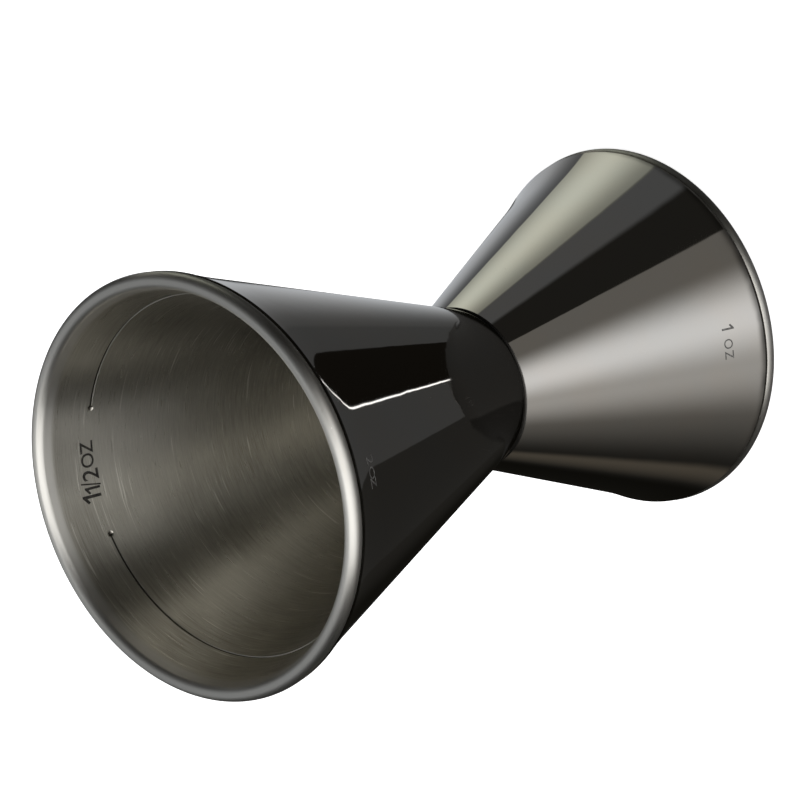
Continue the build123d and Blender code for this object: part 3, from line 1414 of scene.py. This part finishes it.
@dataclass
class Mark:
    """A measure number stamped on a cup's wall, inside or outside.

    A mark reads from the left for someone who faces the wall with the glyphs upright.
    """

    name: str
    cup: CupShape
    azimuth: float
    level: float
    glyphs: Sequence[Glyph]
    slot: Slot
    inside: bool = False
    upside_down: bool = False
    proud: float = 0.012 * MM
    sunk: float = 0.02 * MM
    strip: float = 0.3 * MM
    thin: float = 0.0

    @staticmethod
    def flagged_one() -> bpy.types.Mesh:
        """Make the slab of a numeral one with a slanting flag.

        Returns:
            The slab, one unit tall.
        """
        corners = ((0, 0), (0.15, 0), (0.15, 1), (0.04, 1), (-0.27, 0.76), (-0.2, 0.64), (0, 0.77))
        count = len(corners)
        points = [(x, y, z) for z in (-0.5, 0.5) for x, y in corners]
        faces = [tuple(reversed(range(count))), tuple(range(count, 2 * count))]
        for step in range(count):
            after = (step + 1) % count
            faces.append((step, after, count + after, count + step))
        mesh = bpy.data.meshes.new("flagged_one")
        mesh.from_pydata(points, [], faces)
        return mesh

    def letter(self, text: str) -> bpy.types.Mesh:
        """Make the slab of one character from the built-in font.

        Args:
            text: The character.

        Returns:
            The slab, in the font's own units.
        """
        curve = bpy.data.curves.new(self.name, "FONT")
        curve.body = text
        curve.extrude = 0.5
        curve.offset = -self.thin
        curve.resolution_u = 6
        holder = bpy.data.objects.new(self.name, curve)
        bpy.context.scene.collection.objects.link(holder)
        depsgraph = bpy.context.evaluated_depsgraph_get()
        mesh = bpy.data.meshes.new_from_object(holder.evaluated_get(depsgraph))
        bpy.data.objects.remove(holder)
        bpy.data.curves.remove(curve)
        return mesh

    def outline(self, glyph: Glyph) -> bpy.types.Mesh:
        """Make one glyph as a flat closed slab.

        Args:
            glyph: The character, its height and its place.

        Returns:
            The slab's mesh, with x along the line, y up the glyph and z out of the wall.
        """
        mesh = self.flagged_one() if glyph.text == "1" else self.letter(glyph.text)
        xs = [vertex.co.x for vertex in mesh.vertices]
        ys = [vertex.co.y for vertex in mesh.vertices]
        tall = glyph.height / (max(ys) - min(ys))
        wide = glyph.width / (max(xs) - min(xs)) if glyph.width else tall
        middle = (max(xs) + min(xs)) / 2
        for vertex in mesh.vertices:
            x = (vertex.co.x - middle) * wide + glyph.middle
            y = (vertex.co.y - min(ys)) * tall + glyph.base
            z = self.proud if vertex.co.z > 0 else -self.sunk
            vertex.co = (x, y, z)
        return mesh

    def bend(self, point: Vector) -> Vector:
        """Carry a point of the flat mark onto the wall.

        Args:
            point: The flat point.

        Returns:
            The point in the row frame.
        """
        flip = -1.0 if self.upside_down else 1.0
        up = flip * point.y * self.cup.way.value
        level = self.level + up * math.cos(self.cup.half_angle)
        if self.inside:
            place = self.cup.wall_point(self.cup.total_wall + point.z, level)
        else:
            place = self.cup.outer_point(level, point.z)
        turn = flip * point.x / place.x
        angle = self.azimuth - turn if self.inside else self.azimuth + turn
        height = self.cup.seam_level + self.cup.way.value * place.y
        return Vector((place.x * math.cos(angle), place.x * math.sin(angle), height))

    def build(self, finish: bpy.types.Material) -> bpy.types.Object:
        """Stamp the mark.

        Args:
            finish: The mark's material.

        Returns:
            The mark, as one plain mesh.
        """
        shape = bmesh.new()
        for glyph in self.glyphs:
            mesh = self.outline(glyph)
            shape.from_mesh(mesh)
            bpy.data.meshes.remove(mesh)
        bmesh.ops.remove_doubles(shape, verts=shape.verts, dist=GLYPH_MERGE_DISTANCE)
        left = min(vertex.co.x for vertex in shape.verts)
        right = max(vertex.co.x for vertex in shape.verts)
        for step in range(1, int((right - left) / self.strip) + 1):
            bmesh.ops.bisect_plane(
                shape,
                geom=shape.verts[:] + shape.edges[:] + shape.faces[:],
                plane_co=(left + step * self.strip, 0.0, 0.0),
                plane_no=(1.0, 0.0, 0.0),
                dist=CUT_TOLERANCE,
            )
        for vertex in shape.verts:
            vertex.co = self.bend(vertex.co.copy())
        bmesh.ops.recalc_face_normals(shape, faces=shape.faces)
        made = bpy.data.meshes.new(self.name)
        shape.to_mesh(made)
        shape.free()
        made.materials.append(finish)
        piece = bpy.data.objects.new(self.name, made)
        bpy.context.scene.collection.objects.link(piece)
        settle(piece, None)
        return piece


def measure_marks(large: CupShape, small: CupShape) -> tuple[Mark, Mark, Mark]:
    """Lay out the measure numbers.

    Args:
        large: The large cup.
        small: The small cup.

    Returns:
        The mark inside the large cup, and the marks outside the large and the small cup.
    """
    fraction = (
        Glyph("1", -3.75 * MM, 2.8 * MM, 0.0),
        Glyph("1", -2.6 * MM, 2.3 * MM, -0.1 * MM),
        Glyph("/", -1.75 * MM, 2.9 * MM, -0.3 * MM, 0.7 * MM),
        Glyph("2", -0.5 * MM, 2.4 * MM, -0.25 * MM),
        Glyph("O", 1.5 * MM, 1.9 * MM, 0.15 * MM),
        Glyph("Z", 3.3 * MM, 1.9 * MM, 0.15 * MM),
    )
    double = (
        Glyph("2", -1.45 * MM, 1.9 * MM),
        Glyph("O", 0.25 * MM, 1.6 * MM),
        Glyph("Z", 1.55 * MM, 1.6 * MM),
    )
    single = (
        Glyph("1", -2.1 * MM, 1.8 * MM),
        Glyph("O", 0.2 * MM, 1.3 * MM),
        Glyph("Z", 1.75 * MM, 1.3 * MM),
    )
    inside = Mark(
        "mark_inside_large",
        large,
        math.pi,
        46.9 * MM,
        fraction,
        Slot.BRUSHED,
        inside=True,
        thin=-0.008,
    )
    outside = Mark(
        "mark_outside_large",
        large,
        math.radians(3.5),
        48.9 * MM,
        double,
        Slot.MIRROR,
        upside_down=True,
    )
    below = Mark(
        "mark_outside_small",
        small,
        math.radians(-1.2),
        28.6 * MM,
        single,
        Slot.MIRROR,
        upside_down=True,
    )
    return inside, outside, below


# ---------------------------------------------------------------------------
# Studio
# ---------------------------------------------------------------------------

def direction(azimuth: float, elevation: float) -> Vector:
    """Unit vector towards an azimuth and an elevation.

    Args:
        azimuth: The angle from +X towards +Y, in radians.
        elevation: The angle above the level plane, in radians.

    Returns:
        The unit vector.
    """
    flat = math.cos(elevation)
    return Vector((flat * math.cos(azimuth), flat * math.sin(azimuth), math.sin(elevation)))


@dataclass
class Viewpoint:
    """The camera, aimed past the waist, with its turn about its own axis."""

    azimuth: float = FRONT_AZIMUTH
    elevation: float = FRONT_ELEVATION
    roll: float = math.radians(-110.25)
    distance: float = 1.2162
    right_shift: float = 8.57 * MM
    up_shift: float = 1.64 * MM
    lens: float = 405.0
    sensor: float = 36.0

    def build(self, aim: Vector) -> bpy.types.Object:
        """Make the camera.

        Args:
            aim: The point that the sizes are counted from.

        Returns:
            The scene's camera.
        """
        data = bpy.data.cameras.new("camera")
        data.lens = self.lens
        data.sensor_width = self.sensor
        data.clip_start = 0.05
        data.clip_end = 100.0
        camera = bpy.data.objects.new("camera", data)
        back = direction(self.azimuth, self.elevation)
        level = back.to_track_quat("Z", "Y").to_matrix().to_4x4()
        turned = level @ Matrix.Rotation(self.roll, 4, "Z")
        right = turned.col[0].to_3d()
        up = turned.col[1].to_3d()
        place = aim + back * self.distance - right * self.right_shift - up * self.up_shift
        camera.matrix_world = Matrix.Translation(place) @ turned
        bpy.context.scene.collection.objects.link(camera)
        bpy.context.scene.camera = camera
        return camera


@dataclass(frozen=True)
class Card:
    """A soft light or a dark flag, placed by where a mirror ball would show it.

    Turn is the azimuth on the ball from the front, and tilt the height above the ball's
    equator, both in degrees. A cover of 1 hides the cards before this one, and 0 adds to
    them. A lean moves an upright edge sideways where the large cup's mouth flares.
    """

    name: str
    colour: Colour
    turn: tuple[float, float]
    fade: tuple[float, float] = (1.0, 1.0)
    tilt: tuple[float, float] = (-90.0, 90.0)
    tilt_fade: tuple[float, float] = (3.0, 3.0)
    lean: tuple[float, float] = (0.0, 0.0)
    cover: float = 0.0

    def settings(self) -> dict[str, object]:
        """The values of the card's node.

        Returns:
            The values by the names of the node's inputs.
        """
        return {
            "Colour": self.colour,
            "Start": self.turn[0],
            "End": self.turn[1],
            "Fade In": self.fade[0],
            "Fade Out": self.fade[1],
            "Low": self.tilt[0],
            "High": self.tilt[1],
            "Fade Low": self.tilt_fade[0],
            "Fade High": self.tilt_fade[1],
            "Lean Start": self.lean[0],
            "Lean End": self.lean[1],
            "Cover": self.cover,
        }


def mirror_ball_group(front: Vector) -> bpy.types.NodeTree:
    """Make the group that says where a mirror ball would show a direction of the studio.

    Args:
        front: The direction that the ball is looked at from.

    Returns:
        The shader group, with turn and tilt in degrees.
    """
    writer, source, sink = new_group(
        "mirror_ball",
        "ShaderNodeTree",
        [("Direction", "NodeSocketVector")],
        [("Turn", "NodeSocketFloat"), ("Tilt", "NodeSocketFloat")],
    )
    total = writer.add("ShaderNodeVectorMath", operation="ADD")
    writer.feed(total.inputs[0], source.outputs["Direction"])
    writer.feed(total.inputs[1], front)
    unit = writer.add("ShaderNodeVectorMath", operation="NORMALIZE")
    writer.feed(unit.inputs[0], total.outputs[0])
    turned = writer.add("ShaderNodeVectorRotate", rotation_type="Z_AXIS")
    writer.feed(turned.inputs["Vector"], unit.outputs[0])
    writer.feed(turned.inputs["Angle"], -math.atan2(front.y, front.x))
    x, y, z = writer.split(turned.outputs[0])
    turn = writer.math("DEGREES", writer.math("ARCTAN2", y, x))
    tilt = writer.math("DEGREES", writer.math("ARCSINE", z))
    writer.feed(sink.inputs["Turn"], turn)
    writer.feed(sink.inputs["Tilt"], tilt)
    return writer.tree


def card_group() -> bpy.types.NodeTree:
    """Make the group that adds one soft-edged card to the studio's light.

    Returns:
        The shader group, with the light so far as its input and its output.
    """
    names = ("Start", "End", "Fade In", "Fade Out", "Low", "High", "Fade Low", "Fade High")
    names += ("Lean Start", "Lean End", "Cover")
    writer, source, sink = new_group(
        "soft_card",
        "ShaderNodeTree",
        [
            ("Light", "NodeSocketColor"),
            ("Turn", "NodeSocketFloat"),
            ("Tilt", "NodeSocketFloat"),
            ("Colour", "NodeSocketColor"),
        ]
        + [(name, "NodeSocketFloat") for name in names],
        [("Light", "NodeSocketColor")],
    )
    given = source.outputs
    beyond = writer.math("SUBTRACT", given["Tilt"], WALL_TILT)
    under = writer.math("MINIMUM", beyond, 0.0)
    square = writer.math("MULTIPLY", under, under)
    off = writer.math("MULTIPLY", square, LEAN_PER_SQUARE_DEGREE)
    start = writer.math("MULTIPLY_ADD", off, given["Lean Start"], given["Start"])
    end = writer.math("MULTIPLY_ADD", off, given["Lean End"], given["End"])
    rise = writer.ramp(given["Turn"], start, writer.math("ADD", start, given["Fade In"]))
    fall = writer.ramp(given["Turn"], end, writer.math("SUBTRACT", end, given["Fade Out"]))
    foot = writer.ramp(
        given["Tilt"], given["Low"], writer.math("ADD", given["Low"], given["Fade Low"])
    )
    head = writer.ramp(
        given["Tilt"], given["High"], writer.math("SUBTRACT", given["High"], given["Fade High"])
    )
    across = writer.math("MULTIPLY", rise, fall)
    mask = writer.math("MULTIPLY", across, writer.math("MULTIPLY", foot, head))
    kept = writer.math("SUBTRACT", 1.0, writer.math("MULTIPLY", mask, given["Cover"]))
    before = writer.add("ShaderNodeVectorMath", operation="SCALE")
    writer.feed(before.inputs[0], given["Light"])
    writer.feed(before.inputs["Scale"], kept)
    extra = writer.add("ShaderNodeVectorMath", operation="SCALE")
    writer.feed(extra.inputs[0], given["Colour"])
    writer.feed(extra.inputs["Scale"], mask)
    total = writer.add("ShaderNodeVectorMath", operation="ADD")
    writer.feed(total.inputs[0], before.outputs[0])
    writer.feed(total.inputs[1], extra.outputs[0])
    writer.feed(sink.inputs["Light"], total.outputs[0])
    return writer.tree


class Tint(Enum):
    """Tints of the studio's lights."""

    NEUTRAL = (1.0, 1.0, 1.0)
    COOL = (0.96, 1.0, 1.05)
    WARM = (1.04, 1.0, 0.93)
    OLIVE = (0.965, 1.0, 0.87)
    BROWN = (1.16, 1.0, 0.78)

    def at(self, level: float) -> Colour:
        """The tint's colour at a level of light.

        Args:
            level: The level, which is below 0 for a card that takes light away.

        Returns:
            The colour.
        """
        red, green, blue = self.value
        return (level * red, level * green, level * blue, 1.0)


def studio_cards() -> list[Card]:
    """List the lights and flags round the jigger.

    Returns:
        The cards, lower ring first, in the order they cover one another.
    """
    low = {"tilt": LOW_RING}
    high = {"tilt": HIGH_RING, "tilt_fade": (4.0, 1.1)}
    top = {"tilt": TOP_RING, "tilt_fade": (8.0, 3.0)}
    return [
        Card("low fill", Tint.WARM.at(0.017), (-58, 180), (16, 1), **low),
        Card("low wall", Tint.COOL.at(0.007), (-43.2, 180), (0.8, 1), lean=(1.0, 0.0), **low),
        Card("low front", Tint.COOL.at(0.049), (-12.5, 180), (0.5, 1), lean=(1.4, 0.0), **low),
        Card(
            "low flag",
            Tint.BROWN.at(0.0085),
            (6.0, 24.4),
            (0.4, 0.4),
            lean=(-3.2, 1.7),
            cover=1.0,
            **low,
        ),
        Card("low step", Tint.COOL.at(-0.044), (24.4, 180), (0.3, 1), lean=(1.7, 0.0), **low),
        Card("low rise", Tint.NEUTRAL.at(0.022), (33.6, 180), (2.5, 1), lean=(0.8, 0.0), **low),
        Card("low panel", Tint.COOL.at(0.43), (35, 180), (27, 1), lean=(0.8, 0.0), **low),
        Card(
            "low edge light",
            Tint.NEUTRAL.at(3.0),
            (5.0, 5.9),
            (0.35, 0.35),
            lean=(-3.2, -3.2),
            **low,
        ),
        Card("middle haze", Tint.NEUTRAL.at(0.025), (-180, 180), (0.1, 0.1), MIDDLE_RING),
        Card("middle wall", Tint.NEUTRAL.at(0.032), (-25, 180), (3, 0.1), MIDDLE_RING),
        Card("high fill", Tint.WARM.at(0.016), (-84, 180), (8, 1), **high),
        Card("side brown", Tint.BROWN.at(0.085), (-81, -65.5), (11, 5), **high),
        Card("wall", Tint.WARM.at(0.205), (-68, 18.9), (34, 0.5), **high),
        Card("window", Tint.NEUTRAL.at(0.47), (-45, 9), (18, 16), **high),
        Card("key light", Tint.COOL.at(0.73), (-26, 8.5), (15, 19), **high),
        Card("seam", Tint.NEUTRAL.at(-0.17), (-24.9, -24.0), (0.3, 0.3), **high),
        Card("strip", Tint.COOL.at(0.115), (36.0, 50.8), (3, 0.6), **high),
        Card("brown strip", Tint.COOL.at(-0.06), (41.5, 50.5), (2, 0.6), **high),
        Card("warm panel", Tint.OLIVE.at(0.37), (50.0, 180), (1.5, 1), **high),
        Card("warm glow", Tint.OLIVE.at(0.76), (50, 86), (17, 19), **high),
        Card("rear flag", Tint.COOL.at(0.15), (79.3, 180), (0.6, 1), cover=1.0, **high),
        Card("rear wall", Tint.COOL.at(0.40), (79, 180), (16, 1), **high),
        Card("top fill", Tint.NEUTRAL.at(0.02), (-180, 180), (0.1, 0.1), **top),
        Card("side window", Tint.NEUTRAL.at(2.3), (-40, 14), (6, 15), (26, 50), (5, 6)),
        Card("top window", Tint.NEUTRAL.at(2.5), (-41, 8), (6, 14), (44, 84), (5, 5)),
        Card("side strip", Tint.WARM.at(0.75), (74, 84), (4, 5), (26, 47), (5, 5)),
        Card("zenith", Tint.COOL.at(0.42), (-180, 180), (0.1, 0.1), (62, 91), (9, 0.5)),
    ]


@dataclass
class Studio:
    """Plain pale floor and soft studio light."""

    floor_size: float = 6.0
    dim: Colour = (0.008, 0.0075, 0.006, 1.0)
    backdrop: Colour = (1.0, 1.0, 1.0, 1.0)
    cards: list[Card] = field(default_factory=studio_cards)

    def build_floor(self) -> bpy.types.Object:
        """Lay the floor that the jigger stands on.

        Returns:
            The floor.
        """
        half = self.floor_size / 2
        mesh = bpy.data.meshes.new("floor")
        corners = [(-half, -half, 0), (half, -half, 0), (half, half, 0), (-half, half, 0)]
        mesh.from_pydata(corners, [], [(0, 1, 2, 3)])
        floor = bpy.data.objects.new("floor", mesh)
        material = bpy.data.materials.new("pale_floor")
        material.use_nodes = True
        shader = material.node_tree.nodes["Principled BSDF"]
        shader.inputs["Base Color"].default_value = (0.9, 0.9, 0.9, 1.0)
        shader.inputs["Roughness"].default_value = 0.8
        shader.inputs["Emission Color"].default_value = (1.0, 1.0, 1.0, 1.0)
        shader.inputs["Emission Strength"].default_value = 0.8
        mesh.materials.append(material)
        bpy.context.scene.collection.objects.link(floor)
        floor.visible_glossy = False
        return floor

    def build_world(self) -> None:
        """Hang the soft lights and dark flags round the jigger."""
        world = bpy.data.worlds.new("studio")
        bpy.context.scene.world = world
        world.use_nodes = True
        tree = world.node_tree
        tree.nodes.clear()
        writer = NodeWriter(tree)
        way = writer.add("ShaderNodeTexCoord").outputs["Generated"]
        front = direction(FRONT_AZIMUTH, FRONT_ELEVATION)
        facing = writer.add("ShaderNodeGroup", node_tree=mirror_ball_group(front))
        writer.feed(facing.inputs["Direction"], way)
        group = card_group()
        light: object = self.dim
        for card in self.cards:
            node = writer.add("ShaderNodeGroup", node_tree=group, label=card.name)
            writer.feed(node.inputs["Turn"], facing.outputs["Turn"])
            writer.feed(node.inputs["Tilt"], facing.outputs["Tilt"])
            for title, value in card.settings().items():
                writer.feed(node.inputs[title], value)
            writer.feed(node.inputs["Light"], light)
            light = node.outputs["Light"]
        rays = writer.add("ShaderNodeLightPath")
        seen = writer.blend(rays.outputs["Is Camera Ray"], light, self.backdrop)
        background = writer.add("ShaderNodeBackground")
        writer.feed(background.inputs["Color"], seen)
        sink = writer.add("ShaderNodeOutputWorld")
        writer.feed(sink.inputs["Surface"], background.outputs[0])


def cup_shapes() -> tuple[CupShape, CupShape]:
    """Size the cups from the frame.

    Returns:
        The large cup's and the small cup's sections.
    """
    above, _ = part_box("large_shell")
    _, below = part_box("small_shell")
    seam_level = (above.z + below.z) / 2
    _, large_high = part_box("large_liner")
    small_low, small_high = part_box("small_liner")
    large = CupShape(large_high.y, large_high.z - seam_level, seam_level, Way.UP)
    small = CupShape(small_high.y, seam_level - small_low.z, seam_level, Way.DOWN)
    return large, small


def build_jigger(large: CupShape, small: CupShape) -> None:
    """Make the jigger's pieces with their finishes.

    Args:
        large: The large cup.
        small: The small cup.
    """
    kit = EffectKit()
    mirror = MirrorFinish().build(kit, large.seam_level)
    lip_braze = BrazeFinish().build(kit)
    waist_braze = WAIST_BRAZE.build(kit)
    brushed = BrushedFinish()
    large_steel = brushed.build(kit, "large", large, NICK_PLACE)
    small_steel = brushed.build(kit, "small", small)
    lathe = Lathe()
    Cup("large", large, MeasuringLine(large)).build(lathe, mirror, large_steel, lip_braze)
    Cup("small", small).build(lathe, mirror, small_steel, lip_braze)
    Waist(large, small).build(lathe, waist_braze)
    dark_stamp = DARK_STAMP.build(kit)
    faint_stamp = FAINT_STAMP.build(kit)
    inside, outside, below = measure_marks(large, small)
    inside.build(dark_stamp)
    outside.build(faint_stamp)
    below.build(faint_stamp)


def main() -> None:
    """Build the jigger and its studio."""
    logging.basicConfig(level=logging.INFO, format="%(name)s: %(message)s")
    bpy.context.scene.view_settings.view_transform = "Standard"
    large, small = cup_shapes()
    build_jigger(large, small)
    studio = Studio()
    studio.build_floor()
    studio.build_world()
    Viewpoint().build(Vector((0.0, 0.0, large.seam_level)))


if __name__ == "__main__":
    main()
